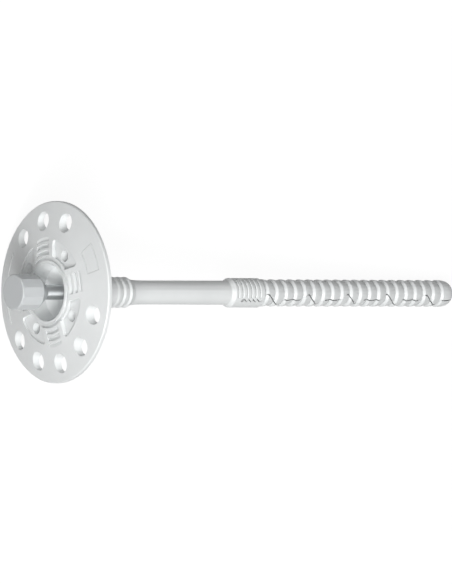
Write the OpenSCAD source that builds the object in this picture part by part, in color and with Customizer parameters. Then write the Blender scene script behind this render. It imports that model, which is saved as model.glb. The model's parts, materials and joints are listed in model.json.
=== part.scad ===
// Insulation anchor: a plate and sleeve moulded in one piece, with a steel drive nail in a moulded head.
// Each piece is drawn on the anchor's own axis: z = 0 is the plate's back face, +z its front, -z the tip.
// The last step lays the anchor down as it comes to rest, on the plate's edge and the last ring.

/* [Overall] */
// Length of the sleeve behind the plate
sleeve_len = 165.9; // [150:0.1:240]

/* [Plate] */
// Radius of the holding plate
plate_r = 30; // [28:0.5:35]
// Thickness of the plate at its rim
rim_t = 1.3; // [1:0.1:2]
// Chamfer round the front edge of the rim
rim_chamfer = 0.3; // [0.1:0.05:0.5]
// Slope of the plate's face towards the middle, in degrees
face_angle = 9.5; // [7:0.5:11]

/* [Plate holes] */
// Radius of the ring that the mortar holes are on
hole_ring_r = 24; // [23:0.25:25]
// Radius of a mortar hole at the plate's face
hole_front_r = 3.2; // [2.6:0.05:3.4]
// Radius of a mortar hole at the plate's back
hole_back_r = 2.6; // [2.1:0.1:2.8]

/* [Pads and ribs] */
// Thickness left under the sunk pads
pad_floor_t = 2.8; // [2:0.1:3]
// Outer radius of the pads at their floor
pad_r = 17.4; // [16.5:0.1:18.5]
// Width of the straight bridge between the floors of two pads
bridge_w = 10.8; // [9.5:0.1:12]
// How much a pad widens for each mm above its floor
pad_spread = 0.04; // [0.02:0.01:0.08]
// Radius of a pad's corners
pad_corner_r = 1; // [0.4:0.1:1.5]
// Radius of the small hole in each pad
pad_hole_r = 1.95; // [1.5:0.05:2.1]
// Length of the grooves across a bridge
groove_l = 6.8; // [5:0.1:7.5]
// Depth of those grooves below the plate's face
groove_depth = 0.8; // [0.5:0.1:1.2]
// Distance from one curved rib to the next
rib_pitch = 2.2; // [2.1:0.05:2.4]
// Width of a curved rib at its top
rib_top_w = 0.5; // [0.3:0.05:0.7]
// Draft of a curved rib on each side
rib_draft = 0.3; // [0.1:0.05:0.4]
// How far the ribs' inner ends stand back from the pads' inner wall
rib_setback = 0.25; // [0.15:0.05:0.5]
// Width of the shallow slope outside the last rib
outer_slope_w = 1.5; // [1:0.1:2]

/* [Pocket] */
// Gap between the nail's head and the bottom of the pocket's wall
pocket_gap = 3; // [2.5:0.1:3.5]
// Depth of the pocket below its lip, down to the funnel
pocket_depth = 5.8; // [5:0.1:8]
// Draft of the pocket's wall
pocket_draft = 0.65; // [0.3:0.05:0.9]
// Width of the ring round the pocket's mouth
lip_w = 0.8; // [0.6:0.1:1]
// Width of the sunk step round that ring
step_w = 1.15; // [0.9:0.05:1.4]
// Depth of that step
step_depth = 0.8; // [0.5:0.1:1.2]
// Wall of the funnel behind the plate
funnel_wall = 1.5; // [1.2:0.1:2]

/* [Marking fields] */
// Height of the raised arc line beside the bare field
arc_height = 0.25; // [0.15:0.05:0.4]
// Width of the raised arc line and of the sunk outline
line_w = 0.4; // [0.3:0.05:0.6]
// Radius of the raised arc line
arc_r = 25; // [24:0.1:27]
// Depth of the sunk outline of the other field
outline_depth = 0.2; // [0.1:0.05:0.3]
// Inner radius of the outlined field
field_in_r = 21; // [20:0.25:22]
// Outer radius of the outlined field
field_out_r = 26.5; // [25:0.25:27]
// Half of the angle that the outlined field spans, in degrees
field_half_angle = 11; // [8:0.5:14]

/* [Neck and shaft] */
// Radius of the neck behind the funnel
neck_r = 4.9; // [4.8:0.05:5]
// Distance from the plate's back to the first neck ring
neck_len = 21.95; // [18:0.05:30]
// Radius of the neck rings
neck_ring_r = 5.15; // [5.05:0.05:5.4]
// Radius in the valleys between the neck rings
neck_valley_r = 4.7; // [4.5:0.05:4.9]
// Number of neck rings
neck_ring_count = 3; // [2:1:5]
// Distance from one neck ring to the next
neck_ring_pitch = 2.55; // [2.2:0.05:3]
// Length of the steep side of a neck ring
neck_flank_l = 0.6; // [0.3:0.05:1]
// Length of the top of a neck ring
neck_land_l = 0.2; // [0.1:0.05:0.5]
// Radius of the shoulder behind the neck rings
shoulder_r = 4.35; // [4.25:0.05:4.6]
// Length of the slope from the last neck ring to the shoulder
shoulder_len = 2.05; // [1.5:0.05:4]
// Length of the hollow taper from the shoulder to the shaft
taper_len = 6.5; // [4:0.1:8]
// Radius of the plain shaft
shaft_r = 4; // [3.8:0.05:4.1]
// How much wider the shaft is where it meets the collar
shaft_flare = 0.07; // [0.02:0.01:0.15]

/* [Collar] */
// Radius of the collar, for the drilled hole
collar_r = 4.95; // [4.8:0.05:5]
// Length of the ramp from the shaft to the collar
collar_ramp_len = 1.2; // [0.8:0.1:3]
// Length of the collar
collar_len = 12; // [11.6:0.1:16]
// Number of fine grooves round the collar
collar_groove_count = 6; // [4:1:6]
// Distance from one fine groove to the next
collar_groove_pitch = 1.82; // [1.6:0.02:1.84]
// Depth of a fine groove
collar_groove_depth = 0.3; // [0.15:0.05:0.4]
// Length of the plain top between two fine grooves
collar_land_l = 0.95; // [0.8:0.05:1.1]
// Distance from the collar's start to the first fine groove
collar_lead = 0.7; // [0.5:0.05:0.9]
// Angle of the smooth strip on one side of each slit, in degrees
smooth_angle = 47; // [30:1:70]
// Angle left smooth on the other side of each slit, in degrees
slit_margin_angle = 12; // [10:1:20]

/* [Expansion zone] */
// Radius of the crests of the expansion rings
ring_r = 4.6; // [4.5:0.05:4.7]
// Radius of the valleys between the expansion rings
ring_valley_r = 3.95; // [3.8:0.05:4.3]
// Number of expansion rings
ring_count = 20; // [16:1:20]
// Distance from one expansion ring to the next
ring_pitch = 4; // [3.4:0.02:4.1]
// Length of the steep side of an expansion ring
ring_flank_l = 0.75; // [0.4:0.05:1.1]
// Length of the top of an expansion ring
ring_land_l = 0.3; // [0.2:0.05:0.5]
// Distance from the collar's end to the crest of the first ring
ring_lead = 2; // [1.5:0.1:3]
// Length of the tip beyond the crest of the last ring
tip_len = 5; // [4:0.05:7]
// Radius of the flat end of the tip
tip_r = 3; // [2.6:0.1:3.4]

/* [Slits] */
// Width of the slits
slit_w = 0.4; // [0.25:0.05:0.5]
// Width where the two halves of the sleeve lie against each other
slit_shut_w = 0.1; // [0.06:0.02:0.2]
// Distance from the collar's start to the round end of a slit
slit_start = 3.05; // [2.5:0.05:4]
// Radius of the round end of a slit
slit_eye_r = 0.6; // [0.4:0.05:0.75]
// Number of small teeth of a slit through the collar
tooth_count = 4; // [2:1:4]
// How far a small tooth swings to each side
tooth_swing = 0.5; // [0.3:0.05:0.7]
// Length of the slanting side of a small tooth
tooth_l = 1.4; // [1:0.05:1.5]
// Distance from one wave of a slit to the next
wave_pitch = 17.1; // [16:0.1:18]
// How far a wave swings to each side
wave_swing = 1.85; // [1.2:0.05:1.9]
// Distance along the anchor in which a wave rises, and in which it returns
wave_rise_len = 2.3; // [1.8:0.1:2.8]
// Distance along the anchor in which a wave crosses from side to side
wave_cross_len = 4; // [3:0.1:4.5]
// Length of the straight top of a wave
wave_top_len = 0.8; // [0.4:0.1:1.2]
// Distance from the first ring's crest back to the first wave's top
wave_lead = 0.45; // [0:0.05:0.8]

/* [Bore] */
// Radius of the bore through the tip, ahead of the nail
tip_bore_r = 2; // [1.6:0.1:2.3]
// Length of that narrow bore
tip_bore_len = 9; // [6:0.5:14]

/* [Nail] */
// Radius of the steel shank
shank_r = 2.5; // [2.2:0.05:2.6]
// Running gap round the shank in its bore
shank_gap = 0.05; // [0.03:0.01:0.1]
// Length of the shank's point
point_len = 3; // [2:0.5:5]
// Radius of the point's blunt end
point_r = 0.8; // [0.4:0.1:1.2]
// Space between the driven nail's point and the end of its bore
point_room = 1; // [0.5:0.25:3]
// Radius of the steel flange inside the head
flange_r = 4.2; // [3.4:0.1:4.6]
// Thickness of that flange
flange_t = 1.8; // [1.2:0.1:2.5]
// Plastic over that flange
flange_cover = 2; // [1.5:0.25:4]
// Radius over the corners of the moulded head
head_r = 6; // [5.6:0.1:6.2]
// Length of the head's flat sides
head_len = 8.15; // [7:0.05:12]
// Chamfer round the end of the head
head_chamfer = 0.5; // [0.3:0.1:0.9]
// Half of the angle of the head's cone and of the funnel it seats in, in degrees
seat_angle = 38.7; // [35:0.1:42]
// Wall of the head round the shank at the cone's small end
head_skin = 0.1; // [0.05:0.05:0.4]
// Gap left round the head's cone when the nail is driven home
seat_gap = 0.06; // [0.03:0.01:0.2]
// How far the nail stands out, and is driven in
drive_travel = 15; // [10:0.5:20]

/* [Rest] */
// Turn of the anchor about its own axis as it lies, in degrees
rest_turn = 12; // [0:1:29]

/* [Hidden] */
$fn = 96;

// How far a cutting shape runs past the faces that it cuts
past = 1;

// Twelve places round the plate: the mortar holes leave out those beside the two marking fields
HOLE_PLACES = 12;
MARKED_PLACES = [0, 1, 5, 6];
BRIDGES_AT = [0, 90, 180, 270];
PADS_AT = [45, 135, 225, 315];
HEAD_SIDES = 12;
head_turn = 3;
outlined_field_at = 15;
arc_field_at = 165;
arc_half_angle = 28;

// Pocket, lip and funnel, worked outwards from the nail
bore_r = shank_r + shank_gap;
pocket_r = head_r + pocket_gap;
mouth_r = pocket_r + pocket_draft;
lip_r = mouth_r + lip_w;
step_r = lip_r + step_w;

// Plate
function face_z(r) = rim_t + (plate_r - r) * tan(face_angle);
rib_root_r = step_r + rib_setback;
lip_z = face_z(step_r);
step_z = lip_z - step_depth;
pocket_z = lip_z - pocket_depth;
funnel_z = pocket_z - (pocket_r - bore_r) / tan(seat_angle);
flare_r = pocket_r + funnel_wall / cos(seat_angle);
flare_end_z = pocket_z - (flare_r - neck_r) / tan(seat_angle);
flare_fillet = 0.6;
pad_hole_ring_r = (step_r + pad_r) / 2 - rim_chamfer;

// Stations down the sleeve, from the tip to the collar and from the plate's back to the shaft
tip_z = -sleeve_len;
ring_last_z = tip_z + tip_len;
ring_first_z = ring_last_z + (ring_count - 1) * ring_pitch;
collar_end_z = ring_first_z + ring_lead;
collar_z = collar_end_z + collar_len;
ramp_z = collar_z + collar_ramp_len;
neck_last_z = -neck_len - (neck_ring_count - 1) * neck_ring_pitch;
shoulder_z = neck_last_z - shoulder_len;
shaft_z = shoulder_z - taper_len;

// Bore: parallel for the nail, then narrower through the tip
bore_end_z = tip_z + tip_bore_len;
bore_neck_z = bore_end_z - (bore_r - tip_bore_r);

// Slits lie opposite each other, each in line with the middle of a pad
SLIT_ANGLES = [-45, 135];
slit_z = collar_z - slit_start;
wave_first_z = ring_first_z + wave_lead;
wave_count = floor((wave_first_z - tip_z) / wave_pitch) + 1;

// Nail as it stands before it is driven
seat_r = shank_r + head_skin;
seat_z = funnel_z + (seat_r + seat_gap - bore_r) / tan(seat_angle);
cone_z = seat_z + drive_travel;
side_z = cone_z + (head_r - seat_r) / tan(seat_angle);
head_end_z = side_z + head_len;
flange_top_z = head_end_z - flange_cover;
point_z = bore_end_z + point_room + drive_travel;

// Rest: the plate's back edge and the last ring touch the floor, midway along X
rest_tilt = atan((plate_r - ring_r) / -ring_last_z);
rest_low_x = -(head_r - head_chamfer) * sin(rest_tilt) - head_end_z * cos(rest_tilt);
rest_high_x = tip_r * sin(rest_tilt) - tip_z * cos(rest_tilt);

// Points of a curve from a to c that is pulled towards b
function curve(a, b, c, steps) = [
    for (i = [0 : steps])
        let (t = i / steps)
        (1 - t) * (1 - t) * a + 2 * t * (1 - t) * b + t * t * c
];

// Half section of a row of barbs: each has a steep flank towards the plate, a short land
// and a full slope down to the valley
function barbs(count, first_z, pitch, crest_r, valley_r, flank_l, land_l) =
    let (
        full_r = crest_r - (crest_r - valley_r) / 4,
        valley_at = flank_l - pitch,
        slope = curve([crest_r, -land_l], [full_r, (valley_at - land_l) / 2], [valley_r, valley_at], 3)
    )
    [
        for (i = [0 : count - 1])
            for (p = concat([[crest_r, 0]], i < count - 1 ? slope : [[crest_r, -land_l]]))
                [p.x, first_z - i * pitch + p.y]
    ];

// Half section of the plate's front and back, down to the start of the neck
function plate_section() = [
    [0, lip_z],
    [lip_r, lip_z],
    [lip_r, step_z],
    [rib_root_r, step_z],
    [rib_root_r, face_z(rib_root_r)],
    [plate_r - rim_chamfer, face_z(plate_r - rim_chamfer)],
    [plate_r, rim_t - rim_chamfer],
    [plate_r, 0],
    [flare_r + flare_fillet, 0],
    [flare_r, -flare_fillet],
    [flare_r, pocket_z],
    [neck_r, flare_end_z]
];

// Half section of the neck and shaft, down to the collar's ramp
function neck_section() = concat(
    [[neck_r, -neck_len + neck_flank_l]],
    barbs(neck_ring_count, -neck_len, neck_ring_pitch, neck_ring_r, neck_valley_r, neck_flank_l, neck_land_l),
    curve([shoulder_r, shoulder_z], [shaft_r, (2 * shoulder_z + shaft_z) / 3], [shaft_r, shaft_z], 5),
    [[shaft_r + shaft_flare, ramp_z]]
);

// Half section of the collar, the expansion rings and the rounded tip
function expansion_section() = concat(
    [
        [collar_r, collar_z],
        [collar_r, collar_end_z],
        [(collar_r + ring_valley_r) / 2, collar_end_z],
        [ring_valley_r, ring_first_z + ring_flank_l]
    ],
    barbs(ring_count, ring_first_z, ring_pitch, ring_r, ring_valley_r, ring_flank_l, ring_land_l),
    curve([ring_r, ring_last_z - ring_land_l], [ring_r, tip_z + (ring_r - tip_r) / 2], [tip_r, tip_z], 8),
    [[0, tip_z]]
);

// Half section of the pocket, funnel and bore
function cavity_section() = [
    [0, lip_z + past],
    [mouth_r + pocket_draft * past / pocket_depth, lip_z + past],
    [pocket_r, pocket_z],
    [bore_r, funnel_z],
    [bore_r, bore_end_z],
    [tip_bore_r, bore_neck_z],
    [tip_bore_r, tip_z - past],
    [0, tip_z - past]
];

// Turns a half section of the plate through an angle either way of a direction
module sector(at, half_angle)
    rotate([0, 0, at - half_angle])
        rotate_extrude(angle = 2 * half_angle)
            children();

// Points of a round corner
function corner(middle, from_angle, to_angle, steps) = [
    for (i = [0 : steps])
        let (a = from_angle + (to_angle - from_angle) * i / steps)
        middle + pad_corner_r * [cos(a), sin(a)]
];

// Outline of a pad seen from the front: its ends run along the bridges beside it
module pad_outline() {
    arc_steps = 12;
    corner_steps = 4;
    inner_across = sqrt(lip_r * lip_r - bridge_w * bridge_w / 4);
    inner = [inner_across + bridge_w / 2, inner_across - bridge_w / 2] / sqrt(2);
    side_off = bridge_w / 2 + pad_corner_r;
    side_along = sqrt((pad_r - pad_corner_r) * (pad_r - pad_corner_r) - side_off * side_off);
    middle = [side_along + side_off, side_along - side_off] / sqrt(2);
    outer_angle = atan2(middle.y, middle.x);
    end_angle = 135;
    polygon(concat(
        corner([middle.x, -middle.y], -end_angle, -outer_angle, corner_steps),
        [
            for (i = [1 : arc_steps - 1])
                let (a = outer_angle * (2 * i / arc_steps - 1))
                pad_r * [cos(a), sin(a)]
        ],
        corner(middle, outer_angle, end_angle, corner_steps),
        [inner, [inner.x, -inner.y]]
    ));
}

// Four sunk pads round the pocket, wider at their tops, each with its small hole
module pads()
    for (at = PADS_AT)
        rotate([0, 0, at]) {
            difference() {
                translate([pad_hole_ring_r, 0, pad_floor_t])
                    linear_extrude(lip_z, scale = 1 + pad_spread * lip_z)
                        translate([-pad_hole_ring_r, 0])
                            pad_outline();
                cylinder(r = step_r, h = lip_z + 2 * pad_floor_t);
            }
            translate([pad_hole_ring_r, 0, -past])
                cylinder(r = pad_hole_r, h = lip_z + 2 * past, $fn = 32);
        }

// One groove between two curved ribs, wider at its top by the ribs' draft
module groove_section(in_r, out_r) {
    floor_z = face_z((in_r + out_r) / 2) - groove_depth;
    polygon([
        [in_r + rib_draft, floor_z],
        [out_r - rib_draft, floor_z],
        [out_r + rib_draft, lip_z + past],
        [in_r - rib_draft, lip_z + past]
    ]);
}

// Slope that sinks the plate's face behind the outermost rib, and runs out again
module outer_slope_section(in_r) {
    floor_z = face_z(in_r) - groove_depth / 2;
    polygon([
        [in_r + rib_draft, floor_z],
        [in_r + outer_slope_w, face_z(in_r + outer_slope_w)],
        [in_r + 2 * outer_slope_w, 2 * face_z(in_r + outer_slope_w) - floor_z],
        [in_r + 2 * outer_slope_w, lip_z + past],
        [in_r - rib_draft, lip_z + past]
    ]);
}

// Grooves across the four bridges, which leave the curved ribs standing
module rib_grooves() {
    rib_1 = rib_root_r + rib_top_w;
    rib_2 = rib_1 + rib_pitch;
    rib_3 = rib_2 + rib_pitch;
    for (at = BRIDGES_AT)
        rotate([0, 0, at])
            intersection() {
                rotate_extrude() {
                    groove_section(rib_1, rib_2 - rib_top_w);
                    groove_section(rib_2, rib_3 - rib_top_w);
                    outer_slope_section(rib_3);
                }
                translate([0, -groove_l / 2, 0])
                    cube([plate_r, groove_l, lip_z + 2 * past]);
            }
}

// Tapered holes in which the mortar grips
module mortar_holes() {
    taper = (hole_front_r - hole_back_r) / face_z(hole_ring_r);
    for (i = [0 : HOLE_PLACES - 1])
        if (len(search(i, MARKED_PLACES)) == 0)
            rotate([0, 0, i * 360 / HOLE_PLACES])
                translate([hole_ring_r, 0, -past])
                    cylinder(
                        r1 = hole_back_r - taper * past,
                        r2 = hole_front_r + taper * past,
                        h = face_z(hole_ring_r) + 2 * past,
                        $fn = 48
                    );
}

// Section of a line on the plate's sloping face, from one depth to one height
module face_line(r, width, depth, height)
    polygon([
        [r, face_z(r) - depth],
        [r + width, face_z(r + width) - depth],
        [r + width, face_z(r + width) + height],
        [r, face_z(r) + height]
    ]);

// Sunk outline of a plain curved field
module outlined_field() {
    end_angle = asin(line_w / field_out_r);
    difference() {
        sector(outlined_field_at, field_half_angle)
            face_line(field_in_r, field_out_r - field_in_r, outline_depth, past);
        sector(outlined_field_at, field_half_angle - end_angle)
            face_line(field_in_r + line_w, field_out_r - field_in_r - 2 * line_w, past, 2 * past);
    }
}

// Fine barbed grooves round the collar, with a smooth strip beside each slit
module collar_grooves()
    for (at = SLIT_ANGLES)
        rotate([0, 0, at + slit_margin_angle])
            rotate_extrude(angle = 180 - smooth_angle - slit_margin_angle)
                for (i = [0 : collar_groove_count - 1])
                    translate([collar_r, collar_z - collar_lead - i * collar_groove_pitch])
                        polygon([
                            [0, 0],
                            [-collar_groove_depth, collar_land_l - collar_groove_pitch + collar_groove_depth],
                            [0, collar_land_l - collar_groove_pitch],
                            [past, collar_land_l - collar_groove_pitch],
                            [past, 0]
                        ]);

// Middle line and width of a slit: small slanting teeth through the collar, then waves
// to one side and the other
function slit_path() = concat(
    [[0, slit_z, slit_w]],
    [
        for (i = [0 : tooth_count - 1])
            for (p = [
                [tooth_swing, 0, slit_w],
                [-tooth_swing, -tooth_l, slit_w]
            ])
                p + [0, slit_z - slit_eye_r - i * collar_groove_pitch, 0]
    ],
    [
        for (i = [0 : wave_count - 1])
            for (p = [
                [0, wave_rise_len, slit_w],
                [0, wave_rise_len, slit_shut_w],
                [wave_swing, 0, slit_shut_w],
                [wave_swing, 0, slit_w],
                [wave_swing, -wave_top_len, slit_w],
                [-wave_swing, -wave_top_len - wave_cross_len, slit_w],
                [-wave_swing, -2 * wave_top_len - wave_cross_len, slit_w],
                [-wave_swing, -2 * wave_top_len - wave_cross_len, slit_shut_w],
                [0, -2 * wave_top_len - wave_cross_len - wave_rise_len, slit_shut_w],
                [0, -2 * wave_top_len - wave_cross_len - wave_rise_len, slit_w]
            ])
                let (top_z = wave_first_z - i * wave_pitch)
                if (top_z + p.y > tip_z)
                    p + [0, top_z, 0]
    ],
    [[0, tip_z - past, slit_w]]
);

// A slit cut straight in from the outside, through to the bore and out through the tip
module slit() {
    path = slit_path();
    last = len(path) - 1;
    rotate([90, 0, 90])
        linear_extrude(plate_r)
            polygon(concat(
                [for (p = path) [p.x + p.z / 2, p.y]],
                [for (i = [0 : last]) let (p = path[last - i]) [p.x - p.z / 2, p.y]]
            ));
    translate([0, 0, slit_z])
        rotate([0, 90, 0])
            cylinder(r = slit_eye_r, h = plate_r, $fn = 24);
}

// Lays the anchor on the floor, with its tip towards +X and the middle of its length at the origin
module at_rest()
    translate([-(rest_low_x + rest_high_x) / 2, 0, plate_r * cos(rest_tilt)])
        rotate([0, rest_tilt - 90, 0])
            rotate([0, 0, rest_turn])
                children();

module anchor_sleeve()
    color([0.86, 0.87, 0.88])
        at_rest() {
            difference() {
                rotate_extrude()
                    polygon(concat(plate_section(), neck_section(), expansion_section()));
                rotate_extrude()
                    polygon(cavity_section());
                pads();
                rib_grooves();
                mortar_holes();
                outlined_field();
                collar_grooves();
                for (at = SLIT_ANGLES)
                    rotate([0, 0, at])
                        slit();
            }
            sector(arc_field_at, arc_half_angle)
                face_line(arc_r, line_w, rim_t / 2, arc_height);
        }

// Steel nail: a plain pointed shank with a flat flange that holds it in the moulded head
module steel_nail() {
    translate([0, 0, point_z])
        cylinder(r1 = point_r, r2 = shank_r, h = point_len);
    translate([0, 0, point_z + point_len])
        cylinder(r = shank_r, h = flange_top_z - point_z - point_len);
    translate([0, 0, flange_top_z - flange_t])
        cylinder(r = flange_r, h = flange_t);
}

module nail_shank()
    color([0.62, 0.64, 0.66])
        at_rest()
            steel_nail();

module nail_head()
    color([0.8, 0.81, 0.82])
        at_rest()
            difference() {
                intersection() {
                    rotate_extrude()
                        polygon([
                            [0, cone_z],
                            [seat_r, cone_z],
                            [head_r, side_z],
                            [head_r, head_end_z - head_chamfer],
                            [head_r - head_chamfer, head_end_z],
                            [0, head_end_z]
                        ]);
                    translate([0, 0, cone_z - past])
                        rotate([0, 0, head_turn])
                            cylinder(r = head_r, h = head_end_z - cone_z + 2 * past, $fn = HEAD_SIDES);
                }
                steel_nail();
            }

anchor_sleeve();
nail_shank();
nail_head();
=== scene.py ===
"""Looks of the insulation anchor: moulded plastic sleeve and nail head, and a bright steel nail."""

import json
import math

import bmesh
import bpy
from mathutils import Matrix, Vector


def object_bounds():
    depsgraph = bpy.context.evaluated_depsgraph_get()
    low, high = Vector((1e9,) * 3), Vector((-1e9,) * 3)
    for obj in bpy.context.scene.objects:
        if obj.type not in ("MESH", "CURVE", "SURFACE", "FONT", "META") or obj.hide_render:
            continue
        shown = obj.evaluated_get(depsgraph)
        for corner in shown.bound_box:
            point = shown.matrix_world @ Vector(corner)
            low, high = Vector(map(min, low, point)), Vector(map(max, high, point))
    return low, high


MM = 0.001

# Picture: its height in pixels, and how many pixels a millimetre takes at the anchor's axis
PICTURE_HEIGHT = 584
PIXELS_PER_MM = 2.985

# View: its angle off the anchor's axis, its roll, and the place on the axis in the picture's middle
VIEW_ANGLE = math.radians(52.25)
VIEW_ROLL = math.radians(0.2)
VIEW_CENTRE_Z = -70.1 * MM
VIEW_CENTRE_DROP = 0.25 * MM
CAMERA_DISTANCE = 2.35
SENSOR_WIDTH = 36.0

# Plastic: faint clouds in its colour and polish, the mould's fine texture, and painted shade darkening its
# inner corners
CLOUD_SCALE = 90
CLOUD_SHADE = (0.93, 1.04)
CLOUD_ROUGHNESS = 0.12
MOULD_GRAIN_SCALE = 3500
MOULD_GRAIN_STRENGTH = 0.15
MOULD_GRAIN_DEPTH = 0.02 * MM
# Painted shade: how far the ambient-occlusion look reaches, and how dark it paints inner corners and
# creases
PAINTED_SHADE_REACH = 1.2 * MM
PAINTED_SHADE_OPENNESS = (0.35, 0.95)
PAINTED_CORNER_SHADE = 0.75
PLASTIC_IOR = 1.49
LIGHT_IN_PLASTIC = 0.15
LIGHT_IN_PLASTIC_REACH = 0.6 * MM

# Steel: fine marks round the wire, and how far they draw out its highlight
MARKS_SCALE = 4000
MARKS_SHADE = (0.9, 1.08)
STEEL_CLOUD_SCALE = 500
STEEL_ROUGHNESS = (0.5, 0.6)
STEEL_STRETCH = 0.97

# Stage: brightness of the studio all round, the floor's shade to the light and to the camera, and its glow
STUDIO_LIGHT = 0.145
FLOOR_SIZE = 3
FLOOR_SHADE_TO_LIGHT = 0.15
FLOOR_SHADE_TO_CAMERA = 0.12
FLOOR_GLOW = 0.93
LAMP_DISTANCE = 1.2

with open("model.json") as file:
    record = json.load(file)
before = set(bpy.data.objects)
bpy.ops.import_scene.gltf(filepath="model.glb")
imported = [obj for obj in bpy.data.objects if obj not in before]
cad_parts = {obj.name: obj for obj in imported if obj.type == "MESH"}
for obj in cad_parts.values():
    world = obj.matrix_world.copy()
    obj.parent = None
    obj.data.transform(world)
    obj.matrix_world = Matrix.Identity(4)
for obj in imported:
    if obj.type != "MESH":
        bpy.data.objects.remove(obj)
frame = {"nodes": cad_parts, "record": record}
cad_low, cad_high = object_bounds()
nodes = frame["nodes"]

# The anchor's own axis, from the plate to the tip, and the middle of the plate's back on it
mounts = {mount["name"]: mount for mount in frame["record"]["mounts"]}
to_tip = Vector(mounts["expansion_zone"]["axis"]).normalized()
collar_middle = Vector(mounts["drill_collar"]["pos_m"])
plate_seat = Vector(mounts["plate_seat"]["pos_m"])
plate_back = collar_middle - to_tip * (collar_middle - plate_seat).dot(to_tip)
view_centre = plate_back - to_tip * VIEW_CENTRE_Z


# Camera

def place_camera():
    """Looks down at the lying anchor from the plate's side, with the anchor level across the picture."""
    across = Vector((0, 1, 0))
    back = Matrix.Rotation(VIEW_ANGLE, 3, across) @ -to_tip
    up = Matrix.Rotation(VIEW_ROLL, 3, back) @ across
    right = up.cross(back)
    lens = bpy.data.cameras.new("camera")
    lens.sensor_width = SENSOR_WIDTH
    lens.lens = SENSOR_WIDTH * CAMERA_DISTANCE / (PICTURE_HEIGHT / PIXELS_PER_MM * MM)
    lens.clip_start = 0.05
    lens.clip_end = 10
    camera = bpy.data.objects.new("camera", lens)
    bpy.context.scene.collection.objects.link(camera)
    turn = Matrix((right, up, back)).transposed().to_4x4()
    place = view_centre + up * VIEW_CENTRE_DROP + back * CAMERA_DISTANCE
    camera.matrix_world = Matrix.Translation(place) @ turn
    bpy.context.scene.camera = camera


# Materials

def new_material(name):
    """A material with an empty node tree but for its output and Principled shader."""
    material = bpy.data.materials.new(name)
    material.use_nodes = True
    tree = material.node_tree
    tree.nodes.clear()
    output = tree.nodes.new("ShaderNodeOutputMaterial")
    shader = tree.nodes.new("ShaderNodeBsdfPrincipled")
    tree.links.new(shader.outputs["BSDF"], output.inputs["Surface"])
    return material, tree, shader


def add_noise(tree, scale, detail=2):
    """An uneven pattern, given by its scale per metre."""
    noise = tree.nodes.new("ShaderNodeTexNoise")
    noise.inputs["Scale"].default_value = scale
    noise.inputs["Detail"].default_value = detail
    return noise


def add_range(tree, value, to, start=(0, 1)):
    """Takes a value from one range to another, and gives the socket that it comes out of."""
    mapping = tree.nodes.new("ShaderNodeMapRange")
    mapping.inputs["From Min"].default_value = start[0]
    mapping.inputs["From Max"].default_value = start[1]
    mapping.inputs["To Min"].default_value = to[0]
    mapping.inputs["To Max"].default_value = to[1]
    tree.links.new(value, mapping.inputs["Value"])
    return mapping.outputs["Result"]


def moulding_group():
    """Moulded plastic: faint cloudy tone, painted shade darkening its corners, uneven polish and a fine
    mould texture.
    """
    group = bpy.data.node_groups.new("moulded plastic", "ShaderNodeTree")
    sockets = group.interface
    sockets.new_socket("Colour", in_out="INPUT", socket_type="NodeSocketColor")
    sockets.new_socket("Polish", in_out="INPUT", socket_type="NodeSocketFloat")
    sockets.new_socket("Colour", in_out="OUTPUT", socket_type="NodeSocketColor")
    sockets.new_socket("Roughness", in_out="OUTPUT", socket_type="NodeSocketFloat")
    sockets.new_socket("Height", in_out="OUTPUT", socket_type="NodeSocketFloat")
    n, link = group.nodes, group.links.new
    given = n.new("NodeGroupInput")
    made = n.new("NodeGroupOutput")
    place = n.new("ShaderNodeTexCoord")
    cloud = add_noise(group, CLOUD_SCALE, detail=4)
    grain = add_noise(group, MOULD_GRAIN_SCALE)
    link(place.outputs["Object"], cloud.inputs["Vector"])
    link(place.outputs["Object"], grain.inputs["Vector"])
    # Painted shade: ambient occlusion darkens the colour in inner corners, creases and recesses
    corner = n.new("ShaderNodeAmbientOcclusion")
    corner.samples = 12
    corner.only_local = True
    corner.inputs["Distance"].default_value = PAINTED_SHADE_REACH
    both = n.new("ShaderNodeMath")
    both.operation = "MULTIPLY"
    link(add_range(group, cloud.outputs["Fac"], CLOUD_SHADE), both.inputs[0])
    link(add_range(group, corner.outputs["AO"], (PAINTED_CORNER_SHADE, 1), PAINTED_SHADE_OPENNESS), both.inputs[1])
    tint = n.new("ShaderNodeVectorMath")
    tint.operation = "SCALE"
    link(given.outputs["Colour"], tint.inputs[0])
    link(both.outputs[0], tint.inputs["Scale"])
    rough = n.new("ShaderNodeMath")
    rough.operation = "MULTIPLY_ADD"
    rough.inputs[1].default_value = CLOUD_ROUGHNESS
    link(cloud.outputs["Fac"], rough.inputs[0])
    link(given.outputs["Polish"], rough.inputs[2])
    link(tint.outputs[0], made.inputs["Colour"])
    link(rough.outputs[0], made.inputs["Roughness"])
    link(grain.outputs["Fac"], made.inputs["Height"])
    return group


def plastic(name, moulding, colour, polish):
    """Moulded plastic of one colour, with a little light inside it."""
    material, tree, shader = new_material(name)
    n, link = tree.nodes, tree.links.new
    finish = n.new("ShaderNodeGroup")
    finish.node_tree = moulding
    finish.inputs["Colour"].default_value = (*colour, 1)
    finish.inputs["Polish"].default_value = polish
    bump = n.new("ShaderNodeBump")
    bump.inputs["Strength"].default_value = MOULD_GRAIN_STRENGTH
    bump.inputs["Distance"].default_value = MOULD_GRAIN_DEPTH
    link(finish.outputs["Colour"], shader.inputs["Base Color"])
    link(finish.outputs["Roughness"], shader.inputs["Roughness"])
    link(finish.outputs["Height"], bump.inputs["Height"])
    link(bump.outputs["Normal"], shader.inputs["Normal"])
    shader.inputs["IOR"].default_value = PLASTIC_IOR
    shader.inputs["Subsurface Weight"].default_value = LIGHT_IN_PLASTIC
    shader.inputs["Subsurface Radius"].default_value = (1, 1, 1)
    shader.inputs["Subsurface Scale"].default_value = LIGHT_IN_PLASTIC_REACH
    return material


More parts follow.
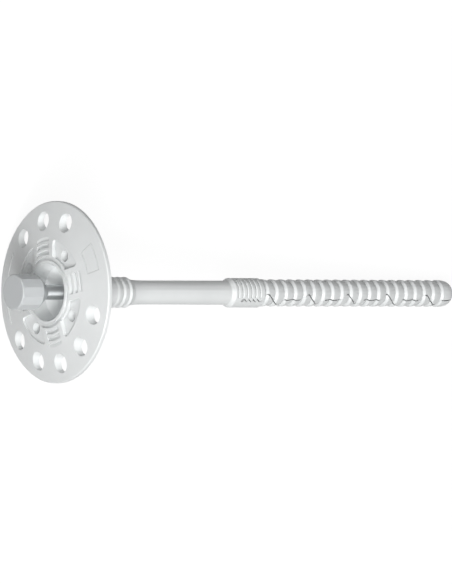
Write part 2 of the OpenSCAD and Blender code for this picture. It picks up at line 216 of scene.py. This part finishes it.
def steel(name, colour):
    """Wire nail: fine marks round the wire, which draw its highlight out to a line along it."""
    material, tree, shader = new_material(name)
    n, link = tree.nodes, tree.links.new
    place = n.new("ShaderNodeTexCoord")
    from_plate = n.new("ShaderNodeVectorMath")
    from_plate.operation = "SUBTRACT"
    from_plate.inputs[1].default_value = plate_back
    link(place.outputs["Object"], from_plate.inputs[0])
    length = n.new("ShaderNodeVectorMath")
    length.operation = "DOT_PRODUCT"
    length.inputs[1].default_value = to_tip
    link(from_plate.outputs[0], length.inputs[0])
    marks = add_noise(tree, MARKS_SCALE, detail=3)
    marks.noise_dimensions = "1D"
    link(length.outputs["Value"], marks.inputs["W"])
    tint = n.new("ShaderNodeVectorMath")
    tint.operation = "SCALE"
    tint.inputs[0].default_value = colour
    link(add_range(tree, marks.outputs["Fac"], MARKS_SHADE), tint.inputs["Scale"])
    link(tint.outputs[0], shader.inputs["Base Color"])
    cloud = add_noise(tree, STEEL_CLOUD_SCALE)
    link(place.outputs["Object"], cloud.inputs["Vector"])
    link(add_range(tree, cloud.outputs["Fac"], STEEL_ROUGHNESS), shader.inputs["Roughness"])
    along = n.new("ShaderNodeCombineXYZ")
    for axis, part in zip("XYZ", to_tip):
        along.inputs[axis].default_value = part
    link(along.outputs[0], shader.inputs["Tangent"])
    shader.inputs["Metallic"].default_value = 1
    shader.inputs["Anisotropic"].default_value = STEEL_STRETCH
    return material


def dress(name, material):
    """Gives a CAD node its finish."""
    mesh = nodes[name].data
    mesh.materials.clear()
    mesh.materials.append(material)


# Stage and light

def background_rays(tree):
    """1 for the rays that see the background: the camera's, reflected and transmitted ones."""
    path = tree.nodes.new("ShaderNodeLightPath")
    seen = path.outputs["Is Camera Ray"]
    for kind in ("Is Glossy Ray", "Is Transmission Ray"):
        either = tree.nodes.new("ShaderNodeMath")
        either.operation = "MAXIMUM"
        tree.links.new(seen, either.inputs[0])
        tree.links.new(path.outputs[kind], either.inputs[1])
        seen = either.outputs[0]
    return seen


def floor_material():
    """Pale and matt, with a plain glow that only the background's rays see."""
    material = bpy.data.materials.new("floor")
    material.use_nodes = True
    tree = material.node_tree
    n, link = tree.nodes, tree.links.new
    n.clear()
    path = n.new("ShaderNodeLightPath")
    matt = n.new("ShaderNodeBsdfDiffuse")
    shades = (FLOOR_SHADE_TO_LIGHT, FLOOR_SHADE_TO_CAMERA)
    link(add_range(tree, path.outputs["Is Camera Ray"], shades), matt.inputs["Color"])
    glow = n.new("ShaderNodeEmission")
    link(add_range(tree, background_rays(tree), (0, FLOOR_GLOW)), glow.inputs["Strength"])
    both = n.new("ShaderNodeAddShader")
    link(matt.outputs[0], both.inputs[0])
    link(glow.outputs[0], both.inputs[1])
    output = n.new("ShaderNodeOutputMaterial")
    link(both.outputs[0], output.inputs["Surface"])
    return material


def make_floor():
    """A wide floor that shows the anchor's soft shadow."""
    mesh = bpy.data.meshes.new("floor")
    shape = bmesh.new()
    bmesh.ops.create_grid(shape, x_segments=1, y_segments=1, size=FLOOR_SIZE)
    bmesh.ops.translate(shape, verts=shape.verts, vec=(0, 0, cad_low.z))
    shape.to_mesh(mesh)
    shape.free()
    mesh.materials.append(floor_material())
    floor = bpy.data.objects.new("floor", mesh)
    bpy.context.scene.collection.objects.link(floor)


def make_world():
    """Even soft light from all round, and plain white to look at."""
    world = bpy.data.worlds.new("studio")
    bpy.context.scene.world = world
    world.use_nodes = True
    tree = world.node_tree
    background = tree.nodes["Background"]
    background.inputs["Color"].default_value = (1, 1, 1, 1)
    strength = add_range(tree, background_rays(tree), (STUDIO_LIGHT, 1))
    tree.links.new(strength, background.inputs["Strength"])


def add_lamp(name, way, size, power):
    """A square soft box that faces the anchor from a direction."""
    lamp = bpy.data.lights.new(name, "AREA")
    lamp.size = size
    lamp.energy = power
    stand = bpy.data.objects.new(name, lamp)
    bpy.context.scene.collection.objects.link(stand)
    way = Vector(way).normalized()
    stand.location = view_centre + way * LAMP_DISTANCE
    stand.rotation_mode = "QUATERNION"
    stand.rotation_quaternion = way.to_track_quat("Z", "Y")


place_camera()

moulded = moulding_group()
dress("anchor_sleeve", plastic("sleeve plastic", moulded, colour=(0.86, 0.88, 0.88), polish=0.34))
dress("nail_head", plastic("head plastic", moulded, colour=(0.6, 0.62, 0.63), polish=0.38))
dress("nail_shank", steel("nail steel", colour=(0.55, 0.57, 0.58)))

make_floor()
make_world()
add_lamp("key", way=(-0.447, -0.500, 0.759), size=0.35, power=6.2)
add_lamp("fill", way=(-0.494, -0.170, 0.847), size=0.6, power=7.6)
add_lamp("far side", way=(-0.574, 0.550, 0.597), size=0.6, power=0.6)

bpy.context.scene.view_settings.view_transform = "Standard"
